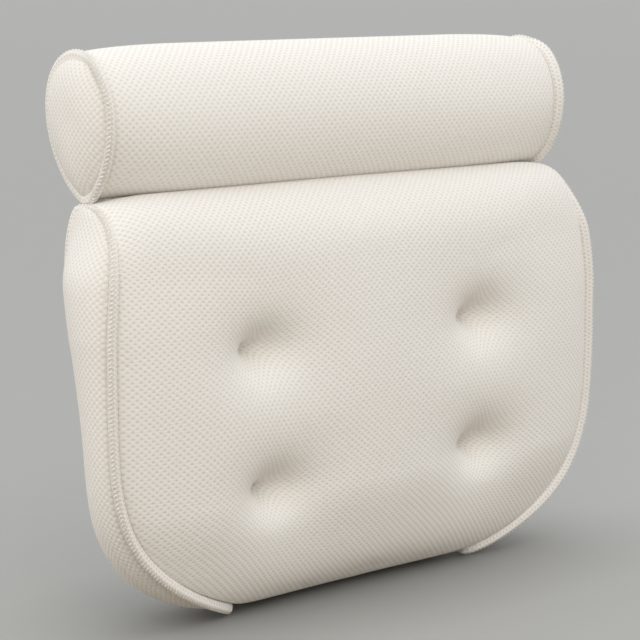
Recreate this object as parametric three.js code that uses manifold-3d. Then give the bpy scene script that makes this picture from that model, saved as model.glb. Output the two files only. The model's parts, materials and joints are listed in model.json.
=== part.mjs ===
// A bath pillow in two cushions: a tufted back pad, and a head roll sewn to it along a fold line.
// Suction cups on the back hold it to the wall of a bath.
// Millimetres; +X is right as seen from the front, +Y is to the back, +Z is up.

import * as THREE from 'three';
import { mergeVertices } from 'three/addons/utils/BufferGeometryUtils.js';
import Module from 'manifold-3d';

const wasm = await Module();
wasm.setup();

// Fits and cloth
const CLEARANCE = 0.3; // between pieces that touch
const FILL_GAP = 0.6; // between a filling and its cover
const SHEET = 4; // thickness of the spacer mesh
const PIPING_HEIGHT = 7.6; // bound seam, along the way it stands
const PIPING_THICKNESS = 5.4;
const PIPING_STAND = 1.8; // its middle, out from the seam line

// Pad, seen from the front
const PAD_HEIGHT = 246; // fold line above the floor
const PAD_WIDTH = 389; // between the side seams where they are widest
const PAD_TOP_WIDTH = 376; // between the side seams at the fold line
const WIDEST_LEVEL = 0.7; // share of the pad's height, as are all levels
const FOOT_WIDTH = 198; // between the lower tips of the side seams
const TIP_HEIGHT = 6; // of those tips above the floor
const CORNER_FULLNESS = 5; // power of the lower corners' curve

// Pad, seen from the side; depths are from the fold line
const FRONT_SEAM_DEPTH = 40;
const BACK_SEAM_DEPTH = 12; // at the shoulder
const WAIST_DEPTH = -2.1; // of the back seam, ahead of the fold line
const WAIST_LEVEL = 0.427;
const BACK_TUCK = 12; // of the back seams, in from the front ones
const TUCK_SPAN = 87; // height over which the tuck comes in under the top
const TIP_SETOFF = 22; // lower tips of the seams ahead of the fold line
const TIP_DEPTH = 5; // of the foot at the tips
const FOOT_FRONT = 9; // front edge of the flat the pad stands on, ahead of the tips
const FOOT_BACK = 31; // back edge of that flat, behind the tips
const TOP_ROUND = 40;
const FOOT_ROUND = 40;

// Pad cushions
const FRONT_CROWN = 16;
const FRONT_FLAT = 0.5; // share of the half width that is evenly full
const BACK_TILT = THREE.MathUtils.degToRad(4); // of the back's flat from upright
const BACK_FLAT = 0.82;
const TOP_FULLNESS = 0.8; // power with which the crown runs out over the top
const GUSSET_FULLNESS = 0.34; // swell of a gusset, as a share of its width
const GUSSET_END = 4; // width at which a gusset stops
const HEM_SHEETS = 1.5; // lower edge of the back panel above the tips, in sheets

// Tufts
const TUFT_SPACING = 178;
const TUFT_LEVELS = { upper: 0.638, lower: 0.309 };
const TUFT_SINK = 28.5;
const TUFT_SPREAD = 17; // distance at which a dimple has lost about half its depth
const TUFT_SHARPNESS = 1.2; // power with which a dimple fades out
const TUFT_FLAT = 3.2; // half width of a dimple's floor
const TUFT_WALL = 9; // half width where a dimple is steepest
const TUFT_REACH = 22; // half width where it is half as deep
const TIE_DIAMETER = 1.8;
const KNOT_DIAMETER = 4.6;
const KNOT_THICKNESS = 1.4;

// Head roll
const ROLL_LENGTH = 362;
const ROLL_HEIGHT = 77.2; // of the end seams
const ROLL_DEPTH = 56;
const ROLL_LEAN = 7; // of its top, back from the fold line
const ROLL_POINT = 0.4; // 0 is an oval section, more is more of a teardrop
const ROLL_CROWN = 5;
const ROLL_CHIN = 6; // extra fullness low on the front, over the pad
const ROLL_FLAT = 0.6;
const CHIN_TURN = 0.85; // share of the way round at which the chin is fullest
const CHIN_SPAN = 0.2;
const CHIN_CLEAR = 0.45; // how far round the crown takes to come in from the fold line
const END_BULGE = 12;
const END_FLAT = 0.2; // share of an end panel that is evenly full
const HINGE_DIAMETER = 7;

// Suction cups and their straps
const CUP_DIAMETER = 48;
const CUP_STANDOFF = 17; // rim plane from the cloth
const RIM_WIDTH = 2;
const NECK_DIAMETER = 8;
const HEAD_DIAMETER = 13;
const HEAD_THICKNESS = 3;
const WALL = 1.6; // of the dish
const DISH_FLARE = 1.4; // power of the dish's curve
const STRAP_LENGTH = 46;
const STRAP_WIDTH = 20;
const STRAP_THICKNESS = 1.2;
const STRAP_END = 9; // length sewn down at each end
const PAD_CUP_SPACING = 226;
const PAD_CUP_LEVELS = { upper: 0.78, lower: 0.203 };
const ROLL_CUP_SPACING = 124;

// Resolution
const PIPING_SIDES = 6;
const CUP_SIDES = 16;
const TIE_SIDES = 8;
const ROLL_STEPS = 24;
const TOP_ANGLES = [0, 14, 30, 50, 70]; // degrees from the fold line over the pad's top
const INNER_SHARES = [0.5]; // columns from the middle to a tuft
const OUTER_SHARES = [0.35, 0.65, 0.88, 1]; // columns from a tuft to the seam
const GUSSET_STEPS = [0, 0.18, 0.4, 0.6, 0.82, 1];
const ROLL_SHARES = [1, 0.97, 0.9, 0.78, 0.6, 0.2];
const DISH_SHARES = [0, 0.55, 1];
const END_SHARES = [0.2, 0.6, 0.85, 1];

// Derived sizes
const SEAT = SHEET + CLEARANCE; // room for a sheet behind a face
const FILL_DEPTH = SHEET + FILL_GAP; // depth of the filling behind a face
const PANEL_INSET = PIPING_THICKNESS / 2 + CLEARANCE; // panel's edge from the seam line
const GUSSET_INSET = SEAT;
const HINGE_SEAT = HINGE_DIAMETER / 2 + CLEARANCE;
const PAD_TOP = PAD_HEIGHT - HINGE_SEAT;
const WIDEST_HEIGHT = WIDEST_LEVEL * PAD_HEIGHT;
const WAIST_HEIGHT = WAIST_LEVEL * PAD_HEIGHT;
const ROLL_BOTTOM = PAD_HEIGHT + HINGE_SEAT;
const ROLL_TOP = ROLL_BOTTOM + ROLL_HEIGHT;
const SHOULDER = PAD_TOP - TOP_ROUND;
const HEEL = TIP_HEIGHT + FOOT_ROUND;
const HEM = TIP_HEIGHT + HEM_SHEETS * SEAT;
const TUFT_X = TUFT_SPACING / 2;
const TUFT_RINGS = [TUFT_FLAT, TUFT_WALL, TUFT_REACH];
const TUFT_LINES = [...TUFT_RINGS.toReversed().map((ring) => -ring), ...TUFT_RINGS];
const RIGHT = 1;
const LEFT = -1;
const FRONT = -1;
const BACK = 1;

const MESH_CLOTH = { color: 0xe9e6df, roughness: 0.9, metalness: 0 };
const PIPING_CLOTH = { color: 0xe4e1da, roughness: 0.85, metalness: 0 };
const FILLING = { color: 0xf3f1ea, roughness: 0.95, metalness: 0 };
const THREAD = { color: 0xdedad0, roughness: 0.7, metalness: 0 };
const WEBBING = { color: 0xdcd9d2, roughness: 0.8, metalness: 0 };
const CLEAR_PVC = { color: 0xd9e2e4, roughness: 0.15, metalness: 0 };

const { lerp, clamp, smoothstep, degToRad } = THREE.MathUtils;

// Quarter round: 0 at an edge, 1 from the span inwards.
function quarterRound(inward, span) {
  const left = 1 - clamp(inward / span, 0, 1);
  return Math.sqrt(1 - left * left);
}

// A cushion's fullness over its half width: even in the middle, round at the edge.
function fullness(u, flat) {
  return quarterRound(1 - Math.abs(u), 1 - flat);
}

// One closed body through rings of points; the end rings are closed unless it joins on itself.
function loft(rings, joined = false) {
  const count = rings[0].length;
  const points = rings.flat();
  const index = [];
  const quad = (a, b, c, d) => {
    const split = points[a].distanceTo(points[c]) < points[b].distanceTo(points[d]);
    index.push(...(split ? [a, b, c, a, c, d] : [b, c, d, b, d, a]));
  };
  const spans = joined ? rings.length : rings.length - 1;
  for (let i = 0; i < spans; i++) {
    const here = i * count;
    const next = ((i + 1) % rings.length) * count;
    for (let k = 0; k < count; k++) {
      const after = (k + 1) % count;
      quad(here + k, here + after, next + after, next + k);
    }
  }
  const last = (rings.length - 1) * count;
  for (let k = 0; !joined && k < count / 2 - 1; k++) {
    const far = count - 1 - k;
    quad(k, far, far - 1, k + 1);
    quad(last + k, last + k + 1, last + far - 1, last + far);
  }
  const geometry = new THREE.BufferGeometry().setFromPoints(points);
  geometry.setIndex(index);
  return facingOut(geometry);
}

// Turns the faces round if the body is inside out.
function facingOut(geometry) {
  const point = geometry.attributes.position;
  const index = geometry.index.array;
  const [a, b, c] = [new THREE.Vector3(), new THREE.Vector3(), new THREE.Vector3()];
  let volume = 0;
  for (let i = 0; i < index.length; i += 3) {
    a.fromBufferAttribute(point, index[i]);
    b.fromBufferAttribute(point, index[i + 1]);
    c.fromBufferAttribute(point, index[i + 2]);
    volume += a.dot(b.cross(c));
  }
  if (volume < 0) geometry.setIndex(Array.from(index).reverse());
  geometry.computeVertexNormals();
  return geometry;
}

function toSolid(geometry) {
  const bare = geometry.clone();
  bare.deleteAttribute('normal');
  bare.deleteAttribute('uv');
  const merged = mergeVertices(bare);
  const vertProperties = merged.attributes.position.array;
  const triVerts = new Uint32Array(merged.index.array);
  return new wasm.Manifold(new wasm.Mesh({ numProp: 3, vertProperties, triVerts }));
}

function cut(geometry, tools) {
  let solid = toSolid(geometry);
  for (const tool of tools) solid = solid.subtract(toSolid(tool));
  const mesh = solid.getMesh();
  const result = new THREE.BufferGeometry();
  result.setAttribute('position', new THREE.BufferAttribute(mesh.vertProperties, 3));
  result.setIndex(new THREE.BufferAttribute(mesh.triVerts, 1));
  result.computeVertexNormals();
  return result;
}

function addPiece(group, name, geometry, look) {
  const mesh = new THREE.Mesh(geometry, new THREE.MeshStandardMaterial(look));
  mesh.name = name;
  group.add(mesh);
  return mesh;
}

// The edges of the pad's front and back that meet at the fold line
function atFold(point) {
  return Math.max(Math.abs(point.y), Math.abs(point.z - PAD_TOP)) < CLEARANCE;
}

// Points of a face moved in by a depth. The face is a list of columns from left to right, each a
// list of points that run down the front or up the back; round columns join on themselves.
function offsetFace(columns, depth, round = false) {
  const last = columns.length - 1;
  return columns.map((column, i) =>
    column.map((point, k) => {
      const end = column.length - 1;
      const before = new THREE.Vector3().subVectors(point, column[k > 0 ? k - 1 : round ? end : 0]);
      const after = new THREE.Vector3().subVectors(column[k < end ? k + 1 : round ? 0 : end], point);
      const along = before.normalize().clone().add(after.normalize());
      const mitre = (before.length() + after.length()) / along.length();
      const left = columns[Math.max(i - 1, 0)][k];
      const right = columns[Math.min(i + 1, last)][k];
      const inward = new THREE.Vector3().subVectors(right, left).cross(along).normalize();
      if (atFold(point)) inward.set(0, 0, -1);
      return point.clone().addScaledVector(inward, depth * mitre);
    }),
  );
}

// Half width of the pad between its front or back side seams at a height
function seamHalfWidth(face, z) {
  if (face === BACK) {
    const below = smoothstep(PAD_TOP - z, 0, TUCK_SPAN);
    const above = smoothstep(z, TIP_HEIGHT, WAIST_HEIGHT);
    return seamHalfWidth(FRONT, z) - BACK_TUCK * below * above;
  }
  if (z > WIDEST_HEIGHT) {
    const above = (z - WIDEST_HEIGHT) / (PAD_TOP - WIDEST_HEIGHT);
    return lerp(PAD_WIDTH, PAD_TOP_WIDTH, above * above) / 2;
  }
  const below = (WIDEST_HEIGHT - z) / (WIDEST_HEIGHT - TIP_HEIGHT);
  return lerp(PAD_WIDTH, FOOT_WIDTH, below ** CORNER_FULLNESS) / 2;
}

// Change of a size with height
function slope(sizeAt, z) {
  const low = Math.max(z - CLEARANCE, TIP_HEIGHT);
  const high = Math.min(z + CLEARANCE, PAD_TOP);
  return (sizeAt(high) - sizeAt(low)) / (high - low);
}

// Half width of the pad's front or back panel, whose edges clear the piping
function panelHalfWidth(face, z) {
  const steepness = slope((height) => seamHalfWidth(FRONT, height), z);
  return seamHalfWidth(face, z) - PANEL_INSET * Math.hypot(1, steepness);
}

// Direction in which the pad's side faces at a height
function sideNormal(side, z) {
  const steepness = slope((height) => seamHalfWidth(FRONT, height), z);
  return new THREE.Vector3(side, 0, -steepness).normalize();
}

// Depth of the front or back seam at a height
function seamDepth(face, z) {
  const shoulder = smoothstep(z, WAIST_HEIGHT, SHOULDER);
  const middle = face === FRONT ? -FRONT_SEAM_DEPTH : lerp(WAIST_DEPTH, BACK_SEAM_DEPTH, shoulder);
  if (z > WAIST_HEIGHT) return middle * quarterRound(PAD_TOP - z, TOP_ROUND);
  return lerp(-TIP_SETOFF, middle, quarterRound(z - TIP_HEIGHT, FOOT_ROUND));
}

// Depth of a gusset's edge, inside the front or back seam
function insetDepth(face, z) {
  const steepness = slope((height) => seamDepth(face, height), z);
  return seamDepth(face, z) - face * GUSSET_INSET * Math.hypot(1, steepness);
}

// Depth of the flat of the pad's back at a height
function backPlane(z) {
  return FOOT_BACK - TIP_SETOFF + z * Math.tan(BACK_TILT);
}

// How far a height is into the foot: 1 at the floor, 0 from the heel up.
function lowness(z) {
  return 1 - smoothstep(z, HEM, HEEL);
}

// Depth of the pad's front or back face at the edge of its panel
function padBase(face, z) {
  return seamDepth(face, z) + (face * (CLEARANCE + TIP_DEPTH * lowness(z))) / 2;
}

// Fullness of the pad's front or back in the middle of its width
function padCrown(face, z) {
  const level = Math.min(z, SHOULDER);
  if (face === BACK) return backPlane(level) - padBase(BACK, level);
  return lerp(FRONT_CROWN, FOOT_FRONT - TIP_DEPTH / 2, lowness(z));
}

// Depth that the tufts take out of the front
function dimples(x, z) {
  let depth = 0;
  for (const level of Object.values(TUFT_LEVELS)) {
    const distance = Math.hypot(Math.abs(x) - TUFT_X, z - level * PAD_HEIGHT);
    const beyond = Math.max(distance - TUFT_FLAT * Math.SQRT2, 0);
    depth += TUFT_SINK / (1 + (beyond / TUFT_SPREAD) ** 2) ** TUFT_SHARPNESS;
  }
  return depth;
}

// Point on the face of the pad's front or back
function padPoint(face, x, z) {
  const u = x / panelHalfWidth(face, z);
  const full = fullness(u, face === FRONT ? FRONT_FLAT : BACK_FLAT);
  const upward = clamp((z - SHOULDER) / TOP_ROUND, 0, 1);
  const outward = Math.sqrt(1 - upward * upward);
  const crown = full * padCrown(face, z) * outward ** TOP_FULLNESS;
  const sunk = face === FRONT ? full * dimples(x, z) : 0;
  const drop = TIP_HEIGHT * lowness(z) * fullness(u, BACK_FLAT);
  const y = padBase(face, z) + face * outward * (crown - sunk);
  return new THREE.Vector3(x, y, z + upward * crown - drop);
}

// Heights of the pad's rows, from the fold line to the floor
function padHeights() {
  const upper = TUFT_LEVELS.upper * PAD_HEIGHT;
  const lower = TUFT_LEVELS.lower * PAD_HEIGHT;
  const around = (height) => TUFT_LINES.map((line) => height - line);
  const top = TOP_ANGLES.map((angle) => SHOULDER + TOP_ROUND * Math.cos(degToRad(angle)));
  return [
    ...top,
    SHOULDER,
    ...around(upper),
    (upper + lower) / 2,
    ...around(lower),
    (lower - TUFT_REACH + HEEL) / 2,
    HEEL,
    (HEEL + HEM) / 2,
    HEM,
    TIP_HEIGHT,
  ];
}

const HEIGHTS = padHeights();

// Distances of the pad's columns from its middle at a height
function padColumns(face, z) {
  const even = Math.max(z, TUFT_LEVELS.lower * PAD_HEIGHT - TUFT_REACH);
  const edge = panelHalfWidth(face, even);
  const tuft = TUFT_LINES.map((line) => TUFT_X + line);
  const half = [
    ...INNER_SHARES.map((share) => share * tuft[0]),
    ...tuft,
    ...OUTER_SHARES.map((share) => lerp(tuft.at(-1), edge, share)),
  ];
  const scale = panelHalfWidth(face, z) / edge;
  return [...half.toReversed().map((x) => -x), 0, ...half].map((x) => x * scale);
}

// Rows of the pad, down the front and up the back, as [face, height]
const PAD_ROWS = [
  ...HEIGHTS.map((z) => [FRONT, z]),
  ...HEIGHTS.toReversed().map((z) => [BACK, z]),
];

// Face of the pad as columns of points over its rows
function padFace() {
  const lines = PAD_ROWS.map(([face, z]) => padColumns(face, z).map((x) => padPoint(face, x, z)));
  return lines[0].map((_, i) => lines.map((line) => line[i]));
}

const PAD_FACE = padFace();
const PAD_LINING = offsetFace(PAD_FACE, SHEET);

// Sheet of the pad's cover between two of its rows
function padSheet(from, to) {
  const rings = PAD_FACE.map((column, i) => {
    const lining = PAD_LINING[i].slice(from, to).toReversed();
    return [...column.slice(from, to), ...lining];
  });
  return cut(loft(rings), tuftHoles());
}

const TUFTS = [];
for (const [name, level] of Object.entries(TUFT_LEVELS)) {
  TUFTS.push({ name: `${name}_left`, x: -TUFT_X, z: level * PAD_HEIGHT });
  TUFTS.push({ name: `${name}_right`, x: TUFT_X, z: level * PAD_HEIGHT });
}

// Holes for the tuft threads
function tuftHoles() {
  return TUFTS.map(({ x, z }) => {
    const radius = TIE_DIAMETER / 2 + CLEARANCE;
    return new THREE.CylinderGeometry(radius, radius, PAD_WIDTH, TIE_SIDES).translate(x, 0, z);
  });
}

// The front panel runs under the foot to its back edge, where the back panel starts.
const FOOT_EDGE = HEIGHTS.length + 1;

function padCore() {
  return cut(loft(offsetFace(PAD_FACE, FILL_DEPTH)), tuftHoles());
}

// Side panel of the pad, between the edges of its front and back
function padGusset(side) {
  const rings = [];
  for (const z of HEIGHTS) {
    const front = insetDepth(FRONT, z);
    const back = insetDepth(BACK, z);
    if (back - front < GUSSET_END) continue;
    const normal = sideNormal(side, z);
    const outer = GUSSET_STEPS.map((share) => {
      const bulge = GUSSET_FULLNESS * (back - front) * Math.sin(share * Math.PI);
      const x = lerp(seamHalfWidth(FRONT, z), seamHalfWidth(BACK, z), share);
      return new THREE.Vector3(side * x, lerp(front, back, share), z).addScaledVector(normal, bulge);
    });
    const inner = outer.map((point) => point.clone().addScaledVector(normal, -SHEET));
    rings.push([...outer, ...inner.toReversed()]);
  }
  return loft(rings);
}

// Bound seam along a closed line of points; facing gives the way it stands at each point.
function piping(line, facing) {
  const rings = line.map((point, i) => {
    const before = line.at(i - 1);
    const after = line[(i + 1) % line.length];
    const along = new THREE.Vector3().subVectors(after, before).normalize();
    const across = new THREE.Vector3().crossVectors(along, facing[i]).normalize();
    const out = new THREE.Vector3().crossVectors(across, along);
    const middle = point.clone().addScaledVector(out, PIPING_STAND);
    const ring = [];
    for (let k = 0; k < PIPING_SIDES; k++) {
      const angle = ((k + 0.5) / PIPING_SIDES) * 2 * Math.PI;
      const corner = middle.clone();
      corner.addScaledVector(out, (PIPING_HEIGHT / 2) * Math.cos(angle));
      corner.addScaledVector(across, (PIPING_THICKNESS / 2) * Math.sin(angle));
      ring.push(corner);
    }
    return ring;
  });
  return loft(rings, true);
}

// Way out of a closed line of points that lies round the x axis, at each of its points
function wayOut(line) {
  return line.map((_, i) => {
    const along = new THREE.Vector3().subVectors(line[(i + 1) % line.length], line.at(i - 1));
    return new THREE.Vector3(0, along.z, -along.y).normalize();
  });
}

// Bound seam round a side of the pad; front and back share its points at the tip and the fold line.
// It leans out to the side in front and stands straight back behind.
function padPiping(side) {
  const rows = PAD_ROWS.toSpliced(HEIGHTS.length, 1).slice(0, -1);
  const line = rows.map(
    ([face, z]) => new THREE.Vector3(side * seamHalfWidth(face, z), seamDepth(face, z), z),
  );
  const facing = wayOut(line).map((out, i) => {
    const lean = smoothstep(-line[i].y, 0, FRONT_SEAM_DEPTH / 2);
    return out.addScaledVector(sideNormal(side, line[i].z), lean);
  });
  return piping(line, facing);
}

function tuftTie({ x, z }) {
  const front = padPoint(FRONT, x, z).y - CLEARANCE;
  const back = padPoint(BACK, x, z).y + CLEARANCE;
  const thread = TIE_DIAMETER / 2;
  const knot = KNOT_DIAMETER / 2;
  const profile = [
    [0, front - KNOT_THICKNESS],
    [knot, front - KNOT_THICKNESS],
    [knot, front],
    [thread, front],
    [thread, back],
    [knot, back],
    [knot, back + KNOT_THICKNESS],
    [0, back + KNOT_THICKNESS],
  ].map(([radius, y]) => new THREE.Vector2(radius, y));
  return new THREE.LatheGeometry(profile, TIE_SIDES).translate(x, 0, z);
}

// Line round the end of the roll, from its lowest point up the back and down the front
function rollLine() {
  const angles = [];
  for (let k = 0; k < ROLL_STEPS; k++) angles.push((k / ROLL_STEPS) * 2 * Math.PI);
  const widths = angles.map((angle) => Math.sin(angle) * Math.sin(angle / 2) ** ROLL_POINT);
  const widest = Math.max(...widths);
  return angles.map((angle, k) => {
    const rise = (1 - Math.cos(angle)) / 2;
    const y = ROLL_LEAN * rise + (ROLL_DEPTH / 2) * (widths[k] / widest);
    return new THREE.Vector3(0, y, lerp(ROLL_BOTTOM, ROLL_TOP, rise));
  });
}

const ROLL_LINE = rollLine();
const ROLL_OUT = wayOut(ROLL_LINE);

// Fullness of the roll in the middle of its length, by its step round the line
function rollCrown(step) {
  const turn = step / ROLL_STEPS;
  const chin = Math.max(1 - Math.abs(turn - CHIN_TURN) / CHIN_SPAN, 0);
  const clear = smoothstep(Math.sin(turn * Math.PI), 0, CHIN_CLEAR);
  return clear * (ROLL_CROWN + ROLL_CHIN * smoothstep(chin, 0, 1));
}

// Face of the roll as columns of points
function rollFace() {
  const half = ROLL_LENGTH / 2 - PANEL_INSET;
  const shares = [...ROLL_SHARES.map((share) => -share), ...ROLL_SHARES.toReversed()];
  return shares.map((share) => {
    const full = fullness(share, ROLL_FLAT);
    return ROLL_LINE.map((point, k) => {
      const spot = point.clone().addScaledVector(ROLL_OUT[k], full * rollCrown(k));
      return spot.setX(share * half);
    });
  });
}

const ROLL_FACE = rollFace();

function rollCover() {
  const lining = offsetFace(ROLL_FACE, SHEET, true);
  return loft([...ROLL_FACE, ...lining.toReversed()], true);
}

function rollCore() {
  const half = ROLL_LENGTH / 2 - SEAT;
  const columns = offsetFace(ROLL_FACE, FILL_DEPTH, true);
  for (const point of columns.flat()) point.x = clamp(point.x, -half, half);
  return loft(columns);
}

// Teardrop panel that closes the end of the roll
function rollEndPanel(side) {
  const edge = ROLL_LINE.map((point, k) => point.clone().addScaledVector(ROLL_OUT[k], -GUSSET_INSET));
  const middle = new THREE.Vector3();
  for (const point of edge) middle.addScaledVector(point, 1 / edge.length);
  const ring = (share, seam) => {
    const x = side * (seam + END_BULGE * fullness(share, END_FLAT));
    return edge.map((point) => middle.clone().lerp(point, share).setX(x));
  };
  const outer = END_SHARES.map((share) => ring(share, ROLL_LENGTH / 2));
  const inner = END_SHARES.map((share) => ring(share, ROLL_LENGTH / 2 - SHEET));
  return loft([...outer, ...inner.toReversed()]);
}

function rollPiping(side) {
  const line = ROLL_LINE.map((point) => point.clone().setX((side * ROLL_LENGTH) / 2));
  const facing = ROLL_OUT.map((out) => out.clone().setX(side));
  return piping(line, facing);
}

// Rolled seam along the fold line
function hingeSeam() {
  const radius = HINGE_DIAMETER / 2;
  const length = ROLL_LENGTH - 2 * PIPING_HEIGHT;
  const rod = new THREE.CylinderGeometry(radius, radius, length, PIPING_SIDES);
  return rod.rotateZ(Math.PI / 2).translate(0, 0, PAD_HEIGHT);
}

// Webbing bridge over the head of a cup, on the face of the cloth, with a buttonhole
function cupStrap() {
  const end = STRAP_LENGTH / 2;
  const rise = end - STRAP_END;
  const bridge = HEAD_DIAMETER / 2 + STRAP_THICKNESS;
  const under = HEAD_THICKNESS + CLEARANCE;
  const right = [
    [bridge, under],
    [rise, 0],
    [end, 0],
    [end, STRAP_THICKNESS],
    [rise + STRAP_THICKNESS / 2, STRAP_THICKNESS],
    [bridge + STRAP_THICKNESS / 2, under + STRAP_THICKNESS],
  ];
  const left = right.toReversed().map(([x, y]) => [-x, y]);
  const outline = [...right, ...left].map(([x, y]) => new THREE.Vector2(x, y + CLEARANCE));
  const options = { depth: STRAP_WIDTH, bevelEnabled: false };
  const band = new THREE.ExtrudeGeometry(new THREE.Shape(outline), options);
  band.translate(0, 0, -STRAP_WIDTH / 2);
  const radius = NECK_DIAMETER / 2 + CLEARANCE;
  return cut(band, [new THREE.CylinderGeometry(radius, radius, STRAP_LENGTH, CUP_SIDES)]);
}

// Suction cup: a head under the strap, a neck through its buttonhole, and a dish
function suctionCup() {
  const rim = CUP_DIAMETER / 2;
  const neck = NECK_DIAMETER / 2;
  const lip = rim - RIM_WIDTH;
  const headTop = CLEARANCE + HEAD_THICKNESS;
  const dish = headTop + STRAP_THICKNESS + 3 * CLEARANCE;
  const floor = dish + 2 * WALL;
  const outside = DISH_SHARES.map((share) => [
    lerp(neck, rim, share),
    lerp(dish, CUP_STANDOFF - WALL, share ** DISH_FLARE),
  ]);
  const inside = DISH_SHARES.map((share) => [lip * share, lerp(floor, CUP_STANDOFF, share ** DISH_FLARE)]);
  const profile = [
    [0, CLEARANCE],
    [HEAD_DIAMETER / 2, CLEARANCE],
    [HEAD_DIAMETER / 2, headTop],
    [neck, headTop],
    ...outside,
    [rim, CUP_STANDOFF],
    ...inside.toReversed(),
  ].map(([radius, y]) => new THREE.Vector2(radius, y));
  return new THREE.LatheGeometry(profile, CUP_SIDES);
}

// A cup in its strap on a spot of the cloth that faces back, tipped down by a tilt
function addCup(group, name, spot, tilt) {
  const seat = new THREE.Group();
  seat.position.copy(spot);
  seat.rotation.x = -tilt;
  addPiece(seat, `cup_strap_${name}`, cupStrap(), WEBBING);
  addPiece(seat, `suction_cup_${name}`, suctionCup(), CLEAR_PVC);
  group.add(seat);
}

function buildPad() {
  const pad = new THREE.Group();
  addPiece(pad, 'pad_front_panel', padSheet(0, FOOT_EDGE), MESH_CLOTH);
  addPiece(pad, 'pad_back_panel', padSheet(FOOT_EDGE, PAD_ROWS.length), MESH_CLOTH);
  addPiece(pad, 'pad_left_gusset', padGusset(LEFT), MESH_CLOTH);
  addPiece(pad, 'pad_right_gusset', padGusset(RIGHT), MESH_CLOTH);
  addPiece(pad, 'pad_left_piping', padPiping(LEFT), PIPING_CLOTH);
  addPiece(pad, 'pad_right_piping', padPiping(RIGHT), PIPING_CLOTH);
  addPiece(pad, 'pad_core', padCore(), FILLING);
  addPiece(pad, 'hinge_seam', hingeSeam(), PIPING_CLOTH);
  for (const tuft of TUFTS) addPiece(pad, `tuft_tie_${tuft.name}`, tuftTie(tuft), THREAD);
  for (const [name, level] of Object.entries(PAD_CUP_LEVELS)) {
    const x = PAD_CUP_SPACING / 2;
    const z = level * PAD_HEIGHT;
    addCup(pad, `${name}_left`, new THREE.Vector3(-x, backPlane(z), z), BACK_TILT);
    addCup(pad, `${name}_right`, new THREE.Vector3(x, backPlane(z), z), BACK_TILT);
  }
  return pad;
}

function buildRoll() {
  const roll = new THREE.Group();
  addPiece(roll, 'roll_cover', rollCover(), MESH_CLOTH);
  addPiece(roll, 'roll_left_end_panel', rollEndPanel(LEFT), MESH_CLOTH);
  addPiece(roll, 'roll_right_end_panel', rollEndPanel(RIGHT), MESH_CLOTH);
  addPiece(roll, 'roll_left_piping', rollPiping(LEFT), PIPING_CLOTH);
  addPiece(roll, 'roll_right_piping', rollPiping(RIGHT), PIPING_CLOTH);
  addPiece(roll, 'roll_core', rollCore(), FILLING);
  const crest = ROLL_LINE.reduce((a, b) => (b.y > a.y ? b : a)).clone();
  crest.y += ROLL_CROWN;
  const x = ROLL_CUP_SPACING / 2;
  addCup(roll, 'roll_left', crest.clone().setX(-x), 0);
  addCup(roll, 'roll_right', crest.clone().setX(x), 0);
  return roll;
}

// The part's origin is under the middle of its box.
const pillow = new THREE.Group();
pillow.add(buildPad(), buildRoll());
const box = new THREE.Box3().setFromObject(pillow);
pillow.children.forEach((body) => (body.position.y = -(box.min.y + box.max.y) / 2));

export default pillow;
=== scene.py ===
"""Looks of a bath pillow: stuffed mesh cushions, bound seams, tufts, straps and suction cups."""
import functools
import json
import math

import bmesh
import bpy
import numpy as np
from bpy.props import FloatProperty, FloatVectorProperty, PointerProperty
from bpy.types import Operator, Panel, PropertyGroup
from mathutils import Matrix, Vector

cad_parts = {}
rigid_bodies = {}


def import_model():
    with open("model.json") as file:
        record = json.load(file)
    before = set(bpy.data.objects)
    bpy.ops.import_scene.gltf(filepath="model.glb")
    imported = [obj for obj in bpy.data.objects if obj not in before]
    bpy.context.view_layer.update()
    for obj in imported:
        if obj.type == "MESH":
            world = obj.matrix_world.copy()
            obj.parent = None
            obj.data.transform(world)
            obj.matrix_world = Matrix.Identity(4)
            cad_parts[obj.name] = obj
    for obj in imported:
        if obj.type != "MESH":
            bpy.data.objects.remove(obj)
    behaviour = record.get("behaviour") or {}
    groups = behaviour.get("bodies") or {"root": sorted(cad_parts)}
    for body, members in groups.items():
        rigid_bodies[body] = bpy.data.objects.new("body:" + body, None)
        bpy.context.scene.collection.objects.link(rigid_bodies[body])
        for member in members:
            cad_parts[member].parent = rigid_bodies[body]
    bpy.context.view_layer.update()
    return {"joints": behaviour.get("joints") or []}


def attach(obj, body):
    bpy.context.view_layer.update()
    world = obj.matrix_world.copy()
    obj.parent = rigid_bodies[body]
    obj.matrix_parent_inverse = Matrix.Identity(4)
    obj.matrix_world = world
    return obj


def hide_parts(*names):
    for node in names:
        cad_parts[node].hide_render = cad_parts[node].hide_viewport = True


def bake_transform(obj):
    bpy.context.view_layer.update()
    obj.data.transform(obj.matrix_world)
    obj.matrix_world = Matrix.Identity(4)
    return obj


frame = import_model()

bl_info = {
    "name": "Bath pillow",
    "version": (1, 0, 0),
    "blender": (4, 5, 0),
    "location": "View3D > Sidebar > Pillow",
    "description": "Dresses the packed solids of a bath pillow in its cloth, seams and cups",
    "category": "Object",
}

JOINTS = {joint["name"]: joint for joint in frame["joints"]}
FOLD = Vector(JOINTS["roll_fold"]["pos_m"])
FRONT, BACK = -1, 1
SIDES = {"left": -1, "right": 1}

MM = 0.001
WELD = 1e-6  # points closer than this are one

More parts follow.
